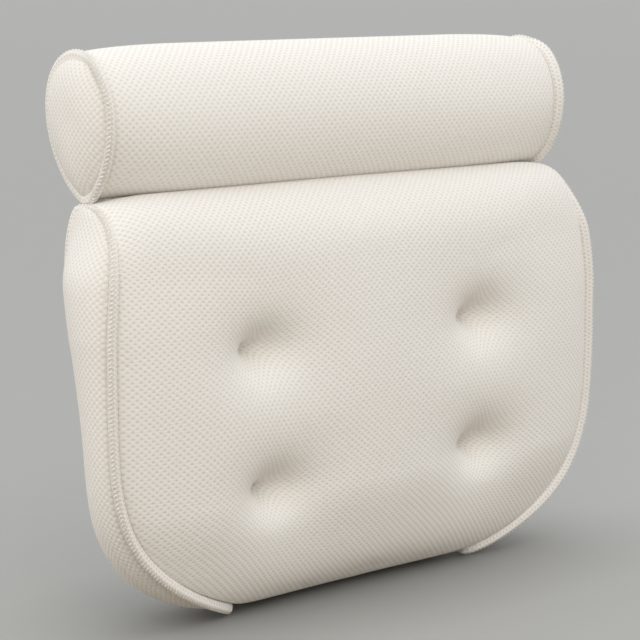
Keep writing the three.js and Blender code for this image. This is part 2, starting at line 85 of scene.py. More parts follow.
# Pad, in metres; depths are from the fold line
WIDEST_HEIGHT = 0.1722  # where the side seams are farthest apart
TOP_TAPER = 1.2  # power of the side seams' curve from there up
CORNER_FULLNESS = 5  # and from there down
FRONT_SEAM_DEPTH = 0.040
BACK_SEAM_DEPTH = 0.010  # at the shoulder
WAIST_DEPTH = -0.0021  # of the back seam, ahead of the fold line
WAIST_HEIGHT = 0.105
BACK_TUCK = 0.012  # of the back seams, in from the front ones
TUCK_SPAN = 0.087  # height over which the tuck comes in under the top
TIP_HEIGHT = 0.006  # of the lower tips of the side seams
TIP_SETOFF = 0.022  # of the tips, ahead of the fold line
TIP_DEPTH = 0.005  # of the foot at the tips
FOOT_CROWN = 0.001  # swell of the front at the floor
CROWN_FOOT = (0.004, 0.074)  # heights over which the front swells out
CROWN_HEAD = (0.130, 0.235)  # heights over which it falls back
CROWN_FALL = 0.4  # share of the swell that is lost there
FOOT_BACK = 0.031  # back edge of the foot, behind the tips
TOP_ROUND = 0.040
FOOT_ROUND = 0.040
FRONT_FLAT = 0.5  # share of the width over which the front is full
BACK_FLAT = 0.82
TOP_FLAT = 0.8  # the same for the front at its top
BACK_TILT = math.radians(4)
TOP_SQUARENESS = {FRONT: 0.58, BACK: 1}  # power of the seams' round at the top; less is squarer
TOP_FULLNESS = {FRONT: 0.62, BACK: 1.6}  # the same for the middle of the width
TOP_SWELL = {FRONT: 0.0047, BACK: 0}  # of the cushion over its top, against the roll
TOP_SWELL_SPAN = 0.8  # share of the top's round over which it swells
TOP_SLANT = 0.008  # of the front seams, backwards from the widest height up
TOP_SPAN = (0.198, 0.238)  # heights over which the sides flatten and the ribs sink
TOP_FLATNESS = 0.6  # share of the sides' swell that is lost there
SIDE_SQUARENESS = 0.5  # power of a side panel's swell; less is squarer
TUFT_BREADTH = 1.4  # of a tuft's funnel, across for each part up
TUFT_SHIFT = {  # of each tuft from an even square, across and up
    ("upper", "left"): (-0.006, -0.001), ("lower", "left"): (0.002, -0.003),
    ("upper", "right"): (-0.003, 0), ("lower", "right"): (-0.003, 0)}
TUFT_PIN = 0.0035  # radius of the spot that a tuft's thread holds
TUFT_HOLD = 1.6  # pins from a tuft over which the cloth stays put
DRAW_REACH = 0.12  # of a tuft, in which it draws in cloth
DRAW_FADE = (0.022, 0.095)  # distances between which the pull dies away
DRAW_SHARE = 0.55  # of the dimple's extra cloth that is drawn in
EDGE_GAP = 0.001  # of a sheet's edge inside its seam line
FOLD_GAP = 0.0012  # of the cushions' edges from the fold line
FILL_GAP = 0.0012  # between a cloth and its filling
CORE_SHARE = 0.97  # of the pad's width that its filling takes
PAD_TOP = FOLD.z - FOLD_GAP
SHOULDER = PAD_TOP - TOP_ROUND
HEEL = TIP_HEIGHT + FOOT_ROUND
HEM = TIP_HEIGHT + 0.0065  # where the front cloth ends behind
FOOT_LIFT = {FRONT: -0.0014, BACK: -0.004}  # of the foot's edges from the tips
PAD_MIDDLE = (0, FOLD.y - 0.015, 0.12)

# Head roll
ROLL_BOTTOM = FOLD.z + FOLD_GAP
ROLL_LEAN = 0.007  # of its top, backwards
ROLL_POINT = 0.4  # power that draws its section to a point at the fold
ROLL_FLAT = 0.6  # share of its length over which it is full
CHIN_TURN = 0.85  # middle of the chin, as a share of the way round
CHIN_SPAN = 0.2
CHIN_CLEAR = 0.45  # rise over which the crown comes in above the fold, in front
BACK_CLEAR = 0.9  # the same behind, which leaves room for the fold
END_FLAT = 0.2  # share of an end panel that is full
FOLD_HOLD = 0.004  # above the fold, where the cloth stays put
ROLL_MIDDLE = (0, FOLD.y + 0.003, FOLD.z + 0.045)

# Rows of points over the pad's top, down its face and round its foot
FRONT_ROWS = (20, 84, 18)
BACK_ROWS = (12, 40, 10)
SIDE_ROWS = (18, 60, 18)
CORE_ROWS = (8, 30, 8)
SEAM_ROWS = (40, 120, 40)
CLOSER_ROWS = (0.011, 2.6)  # round the tufts: spread, and how many more
CLOSER_COLUMNS = (0.055, 2.6)
CLOSER_ENDS = (0.1, 2.0)

# Pressure of the filling, and how far it may move a cloth
FRONT_SWELL = (2.0, 0.003)
BACK_SWELL = (0.6, 0.002)
SIDE_SWELL = (1.0, 0.002)
SWELL_FRAMES = 20
CLOTH = {
    "vertex_group_mass": "pins", "quality": 6, "mass": 0.2, "tension_stiffness": 25,
    "compression_stiffness": 25, "shear_stiffness": 10, "bending_stiffness": 2,
    "use_pressure": True}


def length(name, description, default):
    return FloatProperty(name=name, description=description, default=default, unit="LENGTH")


def colour(name, description, default):
    return FloatVectorProperty(
        name=name, description=description, subtype="COLOR", size=3, default=default, min=0, max=1)


class PillowSizes(PropertyGroup):
    """Sizes that a maker would change."""

    pad_width: length("Pad width", "Between the side seams where they are widest", 0.390)
    pad_top_width: length("Pad top width", "Between the side seams at the fold line", 0.372)
    foot_width: length("Foot width", "Between the lower tips of the side seams", 0.198)
    front_crown: length("Front crown", "How far the front swells out of its seams", 0.0175)
    gusset_fullness: FloatProperty(
        name="Side fullness", description="Swell of a side panel as a share of its width",
        default=0.33, subtype="FACTOR")
    tuft_spacing: length("Tuft spacing", "Between the tufts from left to right", 0.1765)
    tuft_upper: length("Upper tufts", "Height of the upper tufts", 0.159)
    tuft_lower: length("Lower tufts", "Height of the lower tufts", 0.0785)
    tuft_sink: length("Tuft depth", "How far the thread draws the front in", 0.0315)
    tuft_spread: length("Tuft spread", "Reach of the hollow round a tuft", 0.0152)
    roll_length: length("Roll length", "Between the end seams", 0.362)
    roll_height: length("Roll height", "Of the end seams", 0.0798)
    roll_depth: length("Roll depth", "Front to back", 0.056)
    roll_crown: length("Roll crown", "How far the roll swells between its ends", 0.005)
    roll_chin: length("Roll chin", "Extra fullness low on the front", 0.0050)
    end_dome: length("End dome", "How far the end panels swell", 0.012)
    rib_width: length("Rib width", "Of the bound seam, along the way it stands", 0.0076)
    rib_thickness: length("Rib thickness", "Of the bound seam", 0.0052)
    rib_stand: length(
        "Rib stand", "Of the bound seam's middle, out from the seam line", 0.0022)
    sheet: length("Cloth thickness", "Of the spacer mesh", 0.003)


class PillowColours(PropertyGroup):
    """Colours of the cloth, threads and cups, of the shade and highlight painted on the mesh, and
    of the stage.
    """

    cloth: colour("Mesh cloth", "Yarn of the mesh", (0.855, 0.822, 0.772))
    # painted shade inside the mesh's openings
    opening: colour(
        "Mesh openings", "Shade inside the small openings of the mesh", (0.59, 0.54, 0.465))
    # painted highlight on the mesh's raised knots
    knot: colour("Mesh knots", "Light on the raised knots of the mesh", (0.905, 0.88, 0.84))
    thread: colour("Thread", "Stitches and tuft threads", (0.93, 0.905, 0.865))
    webbing: colour("Webbing", "Straps of the suction cups", (0.80, 0.785, 0.755))
    filling: colour("Filling", "Fibre inside the cushions", (0.86, 0.85, 0.82))
    pvc: colour("Cups", "Clear soft plastic of the suction cups", (0.86, 0.92, 0.93))
    floor: colour("Floor", "Pale grey sweep under and behind the part", (0.385, 0.385, 0.370))


def sizes():
    return bpy.context.scene.pillow_sizes


def colours():
    return bpy.context.scene.pillow_colours


# Curves of the cushions

def ease(value, low, high):
    """Smooth step from 0 at low to 1 at high."""
    t = np.clip((value - low) / (high - low), 0, 1)
    return t * t * (3 - 2 * t)


def mix(a, b, share):
    return a + (b - a) * share


def quarter_round(inward, span):
    """0 at an edge, 1 from the span inwards."""
    left = 1 - np.clip(inward / span, 0, 1)
    return np.sqrt(1 - left * left)


def fullness(share, flat):
    """Fullness of a cushion over its half width: even in the middle, round at the edge."""
    return quarter_round(1 - np.abs(share), 1 - flat)


def spaced(start, stop, count, centres, spread, gain):
    """Values from start to stop, closer together round the centres."""
    fine = np.linspace(start, stop, 3000)
    density = np.ones_like(fine)
    for centre in centres:
        density += gain * np.exp(-(((fine - centre) / spread) ** 2))
    share = np.cumsum(density)
    share = (share - share[0]) / (share[-1] - share[0])
    return np.interp(np.linspace(0, 1, count), share, fine)


def grid(*values):
    """Points from values that change along the rows, the columns or both."""
    return np.stack(np.broadcast_arrays(*values), axis=-1)


def along(points):
    """Distance along a line of points."""
    steps = np.linalg.norm(np.diff(points, axis=0), axis=1)
    return np.concatenate([[0], np.cumsum(steps)])


def at(places, run, values):
    """Values read off at places along a run."""
    return grid(*(np.interp(places, run, v) for v in values.T))


def closed_steps(line):
    """Way along each point of a closed line, whose last point is its first."""
    steps = np.roll(line[:-1], -1, axis=0) - np.roll(line[:-1], 1, axis=0)
    return np.concatenate([steps, steps[:1]])


def unit(vectors):
    return vectors / np.maximum(np.linalg.norm(vectors, axis=-1, keepdims=True), 1e-12)


def outwards(steps):
    """Way out of a line in a side view, from its steps."""
    return unit(grid(0.0, steps[:, 2], -steps[:, 1]))


def above_widest(z):
    """Share of the way from the widest height to the top."""
    return np.clip((z - WIDEST_HEIGHT) / (PAD_TOP - WIDEST_HEIGHT), 0, 1)


def seam_half_width(face, z):
    """Half width of the pad between its front or back side seams at a height."""
    s = sizes()
    below = np.clip((WIDEST_HEIGHT - z) / (WIDEST_HEIGHT - TIP_HEIGHT), 0, 1)
    width = np.where(
        z > WIDEST_HEIGHT,
        mix(s.pad_width, s.pad_top_width, above_widest(z) ** TOP_TAPER),
        mix(s.pad_width, s.foot_width, below ** CORNER_FULLNESS))
    tuck = ease(PAD_TOP - z, 0, TUCK_SPAN) * ease(z, TIP_HEIGHT, WAIST_HEIGHT)
    return width / 2 - (BACK_TUCK * tuck if face == BACK else 0)


def side_slope(z):
    """Change of the pad's half width with height."""
    step = 0.0003
    low = np.maximum(z - step, TIP_HEIGHT)
    high = np.minimum(z + step, PAD_TOP)
    return (seam_half_width(FRONT, high) - seam_half_width(FRONT, low)) / (high - low)


def seam_depth(face, z):
    """Depth of the front or back side seam at a height."""
    if face == FRONT:
        middle = TOP_SLANT * above_widest(z) ** 2 - FRONT_SEAM_DEPTH
    else:
        middle = mix(WAIST_DEPTH, BACK_SEAM_DEPTH, ease(z, WAIST_HEIGHT, SHOULDER))
    upper = middle * quarter_round(PAD_TOP - z, TOP_ROUND) ** TOP_SQUARENESS[face]
    lower = mix(-TIP_SETOFF, middle, quarter_round(z - TIP_HEIGHT, FOOT_ROUND))
    return np.where(z > WAIST_HEIGHT, upper, lower)


def lowness(z):
    """How far a height is into the foot: 1 at the floor, 0 from the heel up."""
    return 1 - ease(z, HEM, HEEL)


def pad_base(face, z):
    """Depth from which the pad's front or back swells."""
    return seam_depth(face, z) + face * TIP_DEPTH * lowness(z) / 2


def pad_crown(face, z):
    """Fullness of the pad's front or back in the middle of its width."""
    if face == BACK:
        level = np.minimum(z, SHOULDER)
        return FOOT_BACK - TIP_SETOFF + level * math.tan(BACK_TILT) - pad_base(BACK, level)
    rise = ease(z, *CROWN_FOOT)
    fall = 1 - CROWN_FALL * ease(z, *CROWN_HEAD)
    return mix(FOOT_CROWN, sizes().front_crown, rise * fall)


def tufts():
    """Places of the tufts, which are a little out of line."""
    s = sizes()
    heights = {"upper": s.tuft_upper, "lower": s.tuft_lower}
    return {
        f"{level}_{side}": (SIDES[side] * s.tuft_spacing / 2 + across, heights[level] + up)
        for (level, side), (across, up) in TUFT_SHIFT.items()}


def dimple(distance):
    """Depth of a tuft's funnel, which is steepest at its thread."""
    beyond = np.maximum(distance - TUFT_PIN / 2, 0)
    return sizes().tuft_sink * np.exp(-beyond / sizes().tuft_spread)


def pad_point(face, share, z):
    """Points on the face of the pad's front or back, at shares of its half width."""
    half = seam_half_width(face, z) - EDGE_GAP * np.hypot(1, side_slope(z))
    x = share * half
    upward = np.clip((z - SHOULDER) / TOP_ROUND, 0, 1)
    outward = np.sqrt(1 - upward ** 2)
    flat = mix(FRONT_FLAT, TOP_FLAT, ease(upward, 0, 1)) if face == FRONT else BACK_FLAT
    full = fullness(share, flat)
    swell = TOP_SWELL[face] * ease(upward, 0, TOP_SWELL_SPAN)
    crown = full * (pad_crown(face, z) + swell) * outward ** TOP_FULLNESS[face]
    sunk = 0
    if face == FRONT:
        sunk = full * sum(
            dimple(np.hypot(x - tx, (z - tz) * TUFT_BREADTH)) for tx, tz in tufts().values())
    lift = FOOT_LIFT[face] * lowness(z) * fullness(share, BACK_FLAT)
    y = pad_base(face, z) + face * outward * (crown - sunk)
    return grid(x, y + FOLD.y, z + upward * crown + lift)


def pad_heights(top, middle, foot):
    """Heights from the fold line to the floor, closer together over the top, tufts and foot."""
    s = sizes()
    over = np.linspace(0, math.pi / 2, top, endpoint=False)
    under = np.linspace(0, math.pi / 2, foot)
    return np.concatenate([
        SHOULDER + TOP_ROUND * np.cos(over),
        spaced(SHOULDER, HEEL, middle, (s.tuft_upper, s.tuft_lower), *CLOSER_ROWS)[:-1],
        TIP_HEIGHT + FOOT_ROUND * (1 - np.sin(under))])


def roll_line(count):
    """Line round an end of the roll, up the back and down the front, and its way out."""
    s = sizes()
    angles = np.linspace(0, 2 * math.pi, count)
    widths = np.sin(angles) * np.abs(np.sin(angles / 2)) ** ROLL_POINT
    rise = (1 - np.cos(angles)) / 2
    y = ROLL_LEAN * rise + s.roll_depth / 2 * widths / widths.max()
    points = grid(0.0, y + FOLD.y, ROLL_BOTTOM + s.roll_height * rise)
    tangent = np.gradient(points, axis=0)
    tangent[0] = tangent[-1] = (0, 1, 0)
    return points, outwards(tangent)


def roll_crown(turn):
    """Fullness of the roll in the middle of its length, by its share of the way round."""
    s = sizes()
    chin = ease(1 - np.abs(turn - CHIN_TURN) / CHIN_SPAN, 0, 1)
    clear = ease(np.sin(turn * math.pi), 0, np.where(turn < 0.5, BACK_CLEAR, CHIN_CLEAR))
    return clear * (s.roll_crown + s.roll_chin * chin)


# Pieces

def linked(name, data):
    """An object in the scene."""
    obj = bpy.data.objects.new(name, data)
    bpy.context.scene.collection.objects.link(obj)
    return obj


def put(name, bm):
    """An object at the origin, made of a bmesh."""
    mesh = bpy.data.meshes.new(name)
    bm.to_mesh(mesh)
    bm.free()
    mesh.polygons.foreach_set("use_smooth", [True] * len(mesh.polygons))
    return linked(name, mesh)


def laid(points, chart, inside):
    """A grid laid over rows of points, with its flat chart, facing away from a point inside."""
    rows, cols = points.shape[:2]
    bm = bmesh.new()
    bmesh.ops.create_grid(bm, x_segments=cols - 1, y_segments=rows - 1, size=1)
    bm.verts.index_update()
    spot = [
        (round((v.co.y + 1) / 2 * (rows - 1)), round((v.co.x + 1) / 2 * (cols - 1)))
        for v in bm.verts]
    layer = bm.loops.layers.uv.new("cloth")
    for face in bm.faces:
        for loop in face.loops:
            loop[layer].uv = chart[spot[loop.vert.index]]
    for vert, place in zip(bm.verts, spot):
        vert.co = points[place]
    bmesh.ops.remove_doubles(bm, verts=bm.verts, dist=WELD)
    bm.normal_update()
    middle = Vector(inside)
    if sum(f.normal.dot(f.calc_center_median() - middle) * f.calc_area() for f in bm.faces) < 0:
        bmesh.ops.reverse_faces(bm, faces=bm.faces)
    return bm


def rims(obj, also=None):
    """Indices of a sheet's edge points, and of those that a test picks."""
    bm = bmesh.new()
    bm.from_mesh(obj.data)
    found = [v.index for v in bm.verts if v.is_boundary or (also and also(v.co))]
    bm.free()
    return found


def settle(obj, pins, push, cap):
    """Swells a sheet by the pressure of its filling, held at its pins, and keeps the shape."""
    scene = bpy.context.scene
    rest = np.array([v.co for v in obj.data.vertices])
    obj.vertex_groups.new(name="pins").add(pins, 1.0, "REPLACE")
    cloth = obj.modifiers.new("cloth", "CLOTH")
    for name, value in CLOTH.items():
        setattr(cloth.settings, name, value)
    cloth.settings.uniform_pressure_force = push
    cloth.settings.effector_weights.gravity = 0
    for step in range(1, SWELL_FRAMES + 1):
        scene.frame_set(step)
    swollen = obj.evaluated_get(bpy.context.evaluated_depsgraph_get()).data
    moved = np.array([v.co for v in swollen.vertices]) - rest
    length = np.linalg.norm(moved, axis=1, keepdims=True)
    moved *= np.tanh(length / cap) * cap / np.maximum(length, 1e-9)
    obj.modifiers.remove(cloth)
    obj.vertex_groups.clear()
    scene.frame_set(1)
    obj.data.vertices.foreach_set("co", (rest + moved).ravel())
    obj.data.update()


def skin(name, points, chart):
    """A tube laid over rows of points."""
    bm = laid(points, chart, (0, 0, 0))
    bmesh.ops.recalc_face_normals(bm, faces=bm.faces)
    return put(name, bm)


def smooth(obj):
    finer = obj.modifiers.new("finer", "SUBSURF")
    finer.levels = finer.render_levels = 1


def thicken(obj, depth, offset):
    """Gives a sheet its thickness: inwards at -1, both ways at 0, outwards at 1."""
    sheet = obj.modifiers.new("thickness", "SOLIDIFY")
    sheet.thickness = depth
    sheet.offset = offset


def finish_piece(obj, body, slot, look, *nodes, fill=None):
    """Dresses a piece, sets it on its body, and hides any solids that it stands for."""
    obj.data.materials.append(finish(look))
    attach(obj, body)
    if nodes:
        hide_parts(*nodes)


def sew(obj, body, look, node, fill):
    """Turns a shaped sheet into a piece of cloth over filling."""
    thicken(obj, sizes().sheet, -1)
    smooth(obj)
    finish_piece(obj, body, "mesh_cloth", look, node, fill=fill)


def stuff(name, bm, body, node, fill):
    """Closes the ends of a skin, which makes it a filling."""
    bmesh.ops.holes_fill(bm, edges=[e for e in bm.edges if e.is_boundary], sides=0)
    bmesh.ops.recalc_face_normals(bm, faces=bm.faces)
    finish_piece(put(name, bm), body, "filling", "fibre_filling", node, fill=fill)


# Finishes

class Wire:
    """A value in a shader, whose arithmetic adds Math nodes."""

    def __init__(self, finish, socket):
        self.finish = finish
        self.socket = socket

    def __add__(self, other):
        return self.finish.math("ADD", self, other)

    def __sub__(self, other):
        return self.finish.math("SUBTRACT", self, other)

    def __rsub__(self, other):
        return self.finish.math("SUBTRACT", other, self)

    def __mul__(self, other):
        return self.finish.math("MULTIPLY", self, other)

    __radd__ = __add__


class Finish:
    """A material under construction."""

    def __init__(self, name):
        self.material = bpy.data.materials.new(name)
        self.material.use_nodes = True
        self.tree = self.material.node_tree
        self.shader = self.tree.nodes["Principled BSDF"]

    def plug(self, socket, value):
        if isinstance(value, Wire):
            self.tree.links.new(value.socket, socket)
        elif socket.type == "RGBA" and len(value) == 3:
            socket.default_value = (*value, 1)
        else:
            socket.default_value = value

    def add(self, kind, values=None, output=0, **settings):
        """A node with settings, and values or links of its sockets; gives one of its outputs."""
        node = self.tree.nodes.new(kind)
        for name, value in settings.items():
            setattr(node, name, value)
        for key, value in (values or {}).items():
            socket = node.inputs[key] if isinstance(key, int) else next(
                s for s in node.inputs if s.name == key and s.enabled)
            self.plug(socket, value)
        outputs = [s for s in node.outputs if s.enabled]
        if isinstance(output, str):
            return Wire(self, next(s for s in outputs if s.name == output))
        return Wire(self, outputs[output])

    def math(self, operation, *values):
        return self.add("ShaderNodeMath", dict(enumerate(values)), operation=operation)

    def place(self):
        """Place of a point in the part's own frame."""
        return self.add("ShaderNodeTexCoord", output="Object")

    def chart(self):
        """Place of a point in the flat cloth."""
        return self.add("ShaderNodeUVMap", uv_map="cloth")

    def set(self, **values):
        for name, value in values.items():
            self.plug(self.shader.inputs[name.replace("_", " ")], value)

    def smoothstep(self, value, low, high):
        return self.add(
            "ShaderNodeMapRange", {"Value": value, "From Min": low, "From Max": high},
            interpolation_type="SMOOTHSTEP")

    def blend(self, share, a, b):
        return self.add("ShaderNodeMix", {"Factor": share, "A": a, "B": b}, data_type="RGBA")

    def noise(self, vector, scale, detail=2, roughness=0.5):
        return self.add(
            "ShaderNodeTexNoise",
            {"Vector": vector, "Scale": scale, "Detail": detail, "Roughness": roughness})

    def parts(self, vector):
        split = self.add("ShaderNodeSeparateXYZ", {"Vector": vector})
        return [Wire(self, s) for s in split.socket.node.outputs]

    def bump(self, height, distance, strength=1.0):
        self.set(Normal=self.add(
            "ShaderNodeBump", {"Strength": strength, "Distance": distance, "Height": height}))


MESH_PITCH = (0.0044, 0.00195)  # of the staggered openings, across and between rows
SIDE_PITCH = (0.0040, 0.00165)
RIB_PITCH = (0.0026, 0.0022)
MESH_WANDER = 0.0008  # of the openings from their even places
ROW_SHARE = 0.6  # how much the rows show beside the single openings
OPENING_EDGES = (0.15, 1.2)  # of the mesh's wave, from ground to opening
KNOT_EDGES = (0.0, 1.0)
KNOT_SHARE = 0.6  # share of the painted highlight on the knots
FRONT_SHADE, SIDE_SHADE = 0.5, 0.6  # share of the painted shade in the openings
PATCH_SHARE = 0.2  # of that shade which varies from patch to patch
RIB_EDGES = (0.37, 0.43)  # shares of a rib's half girth, where it turns to painted shade under the thread
GRAIN = {  # of the uneven places in each finish, to the metre
    "mesh": 60, "patch": 9, "yarn": 2600, "tape": 2400, "fibre": 420, "clump": 40, "cloud": 90,
    "floor": 30}
PLY_TURNS = 4200  # of twisted thread, in radians to the metre
WARP_PITCH = 0.0013
WEFT_PITCH = 0.0018
WEAVE_SHADE = 0.8  # of the webbing's colour, between its yarns
FLOOR_BOUNCE = (0.72, 0.63, 0.52)  # of the floor's colour, in the light it throws back
CONTACT_REACH = 0.09  # of the painted contact shadow under the part's edges
CONTACT_SHADE = 0.55  # of the floor's colour, in that painted shadow


def shaded(values, shade):
    """A colour made darker."""
    return tuple(shade * v for v in values)


def rib_girth():
    return math.pi * (sizes().rib_width + sizes().rib_thickness) / 2


def lattice(f, chart, pitch):
    """Staggered openings and knots of a mesh: each is 1 in its middle and 0 in the other's."""
    wander = f.noise(chart, GRAIN["mesh"], 1) - 0.5
    u, v, _ = f.parts(chart)
    turn = (u + wander * MESH_WANDER) * (2 * math.pi / pitch[0])
    row = f.math("COSINE", v * (math.pi / pitch[1]))
    wave = f.math("COSINE", turn) * row
    line = row * row * ROW_SHARE - ROW_SHARE / 2
    opening = f.smoothstep(wave + line, *OPENING_EDGES)
    return opening, f.smoothstep(0 - wave - line, *KNOT_EDGES)


def knitted(f, chart, opening, knot, shade):
    """Finishes a mesh: shade in its openings, light on its knots."""
    yarn = f.noise(chart, GRAIN["yarn"], 2, 0.6)
    # painted shade in the openings
    tint = f.blend(opening * shade, colours().cloth, colours().opening)
    # painted highlight on the knots
    tint = f.blend(knot * KNOT_SHARE, tint, colours().knot)
    f.set(Base_Color=tint, Roughness=0.88 - yarn * 0.1, Sheen_Weight=0.15, Sheen_Roughness=0.45)
    f.bump((knot - opening) * 0.5 + yarn * 0.2, 0.0004, 0.7)


def front_finish(f):
    """Spacer mesh: staggered rows of small openings in an even ground."""
    chart = f.chart()
    opening, knot = lattice(f, chart, MESH_PITCH)
    patch = f.smoothstep(f.noise(chart, GRAIN["patch"]), 0.2, 0.8)
    opening = opening * (patch * PATCH_SHARE + (1 - PATCH_SHARE))
    knitted(f, chart, opening, knot, FRONT_SHADE)


def side_finish(f):
    """The same mesh cut crosswise and drawn tight, so that its knots stand out of the ground, with
    a painted highlight on the knots and painted shade on the ground.
    """
    crosswise = {"Vector": f.chart(), "Rotation": (0, 0, math.pi / 2)}
    chart = f.add("ShaderNodeMapping", crosswise)
    knot, opening = lattice(f, chart, SIDE_PITCH)
    knitted(f, chart, opening, knot, SIDE_SHADE)


def rib_finish(f):
    """Cloth edges bound together: small openings on the flanks, shade under the thread."""
    chart = f.chart()
    opening, knot = lattice(f, chart, RIB_PITCH)
    flank = f.parts(chart)[1] * (1 / rib_girth()) - 0.5
    # painted shade along the rib's outer edge, under the overlock thread
    edge = f.smoothstep(f.math("ABSOLUTE", flank), *RIB_EDGES)
    knitted(f, chart, f.math("MAXIMUM", opening, edge), knot, SIDE_SHADE)


def thread_finish(f):
    """Twisted thread, with painted shade in the grooves between its plies."""
    x, y, z = f.parts(f.place())
    twist = f.math("SINE", (x + y + z) * PLY_TURNS)
    # painted shade in the grooves between the plies, in the openings' shade colour
    f.set(
        Base_Color=f.blend(twist * 0.12 + 0.12, colours().thread, colours().opening),
        Roughness=0.62 + twist * 0.06, Sheen_Weight=0.1)
    f.bump(twist, 0.0001)


def webbing_finish(f):
    """Woven tape: warp ribs along the strap, crossed by weft."""
    chart = f.chart()
    u, v, _ = f.parts(chart)
    warp = f.math("SINE", v * (2 * math.pi / WARP_PITCH))
    weft = f.math("SINE", u * (2 * math.pi / WEFT_PITCH))
    weave = warp * weft
    yarn = f.noise(chart, GRAIN["tape"])
    c = colours().webbing
    f.set(
        Base_Color=f.blend(f.smoothstep(weave, -1, 0.6), shaded(c, WEAVE_SHADE), c),
        Roughness=0.75 - yarn * 0.12, Sheen_Weight=0.1)
    f.bump(weave * 0.5 + warp * 0.3 + yarn * 0.2, 0.0003, 0.8)


def filling_finish(f):
    """Loose fibre wadding."""
    place = f.place()
    fibre = f.noise(place, GRAIN["fibre"], 5, 0.7)
    clump = f.noise(place, GRAIN["clump"], 3)
    f.set(
        Base_Color=f.blend(fibre * 0.4, colours().filling, colours().opening),
        Roughness=0.9 + clump * 0.05, Sheen_Weight=0.2)
    f.bump(fibre + clump, 0.002)


def pvc_finish(f):
    """Clear soft plastic, a little cloudy from handling."""
    cloud = f.noise(f.place(), GRAIN["cloud"], 4)
    f.set(
        Base_Color=colours().pvc, Roughness=0.1 + cloud * 0.14, IOR=1.53,
        Transmission_Weight=0.85)
    f.bump(cloud, 0.0002)


def floor_finish(f):
    """Matt pale sweep: a camera sees it in its own grey, with a painted contact shadow close to the
    part.
    """
    grain = f.noise(f.place(), GRAIN["floor"], 3)
    c = colours().floor
    seen = f.add("ShaderNodeLightPath", output="Is Camera Ray")
    grey = f.blend(grain * 0.08, c, shaded(c, 0.9))
    # painted contact shadow: darker where the part hides the floor from the light
    near = f.add("ShaderNodeAmbientOcclusion", {"Distance": CONTACT_REACH}, "AO", samples=8)
    grey = f.blend(near, shaded(c, CONTACT_SHADE), grey)
    f.set(
        Base_Color=f.blend(seen, tuple(b * v for b, v in zip(FLOOR_BOUNCE, c)), grey),
        Roughness=0.75 - grain * 0.1, Specular_IOR_Level=0.2)


FINISHES = {
    "mesh_front": front_finish, "mesh_side": side_finish, "bound_edge": rib_finish,
    "twisted_thread": thread_finish, "woven_webbing": webbing_finish,
    "fibre_filling": filling_finish, "clear_pvc": pvc_finish, "pale_sweep": floor_finish}


@functools.cache
def finish(name):
    """One of the part's finishes, made when it is first asked for."""
    f = Finish(name)
    FINISHES[name](f)
    return f.material


# Pad

def drawn_in(x, z):
    """Shift of the cloth's chart towards the tufts, whose dimples take up extra cloth."""
    reach = np.linspace(0, DRAW_REACH, 400)
    wall = np.gradient(dimple(reach), reach)
    extra = np.concatenate([[0], np.cumsum(np.hypot(1, wall)[1:] - 1) * (reach[1] - reach[0])])
    extra *= DRAW_SHARE * (1 - ease(reach, *DRAW_FADE))
    shift_u, shift_v = np.zeros_like(x), np.zeros_like(x)
    for tx, tz in tufts().values():
        distance = np.maximum(np.hypot(x - tx, z - tz), 1e-6)
        amount = np.interp(distance, reach, extra) / distance
        shift_u += (x - tx) * amount
        shift_v += (z - tz) * amount
    return shift_u, shift_v


def pad_columns(count):
    """Shares of the half width, closer together round the tufts and at the seams."""
    tuft = sizes().tuft_spacing / sizes().pad_width
    return spaced(-1, 1, count, (-1, -tuft, tuft, 1), *CLOSER_COLUMNS)


def panel_chart(points, across):
    """Flat cloth chart of a panel: its width across, the distance along its middle down."""
    return grid(across, along(points[:, points.shape[1] // 2])[:, None])


def near_tuft(point):
    return point.y < FOLD.y and any(
        math.hypot(point.x - x, point.z - z) < TUFT_HOLD * TUFT_PIN for x, z in tufts().values())


def build_front_panel():
    """The cloth that runs down the front, under the foot and up to its hem behind."""
    shares = pad_columns(150)[None, :]
    heights = pad_heights(*FRONT_ROWS)[:, None]
    face = pad_point(FRONT, shares, heights)
    heel = pad_point(BACK, shares, np.linspace(TIP_HEIGHT, HEM, 4)[:, None])
    under = np.linspace(face[-1], heel[0], 9)[1:-1]
    points = np.concatenate([face, under, heel])
    chart = panel_chart(points, points[..., 0])
    shift_u, shift_v = drawn_in(face[..., 0], np.broadcast_to(heights, face.shape[:2]))
    chart[: len(face), :, 0] += shift_u
    chart[: len(face), :, 1] -= shift_v
    obj = put("pad_front_cloth", laid(points, chart, PAD_MIDDLE))
    settle(obj, rims(obj, near_tuft), *FRONT_SWELL)
    sew(obj, "pad", "mesh_front", "pad_front_panel", 0.8)


def build_back_panel():
    shares = pad_columns(72)[None, :]
    heights = pad_heights(*BACK_ROWS)[::-1]
    heights = np.concatenate([[HEM], heights[heights > HEM + EDGE_GAP]])[:, None]
    points = pad_point(BACK, shares, heights)
    chart = panel_chart(points, points[..., 0])
    obj = put("pad_back_cloth", laid(points, chart, PAD_MIDDLE))
    settle(obj, rims(obj), *BACK_SWELL)
    sew(obj, "pad", "mesh_front", "pad_back_panel", 0.7)


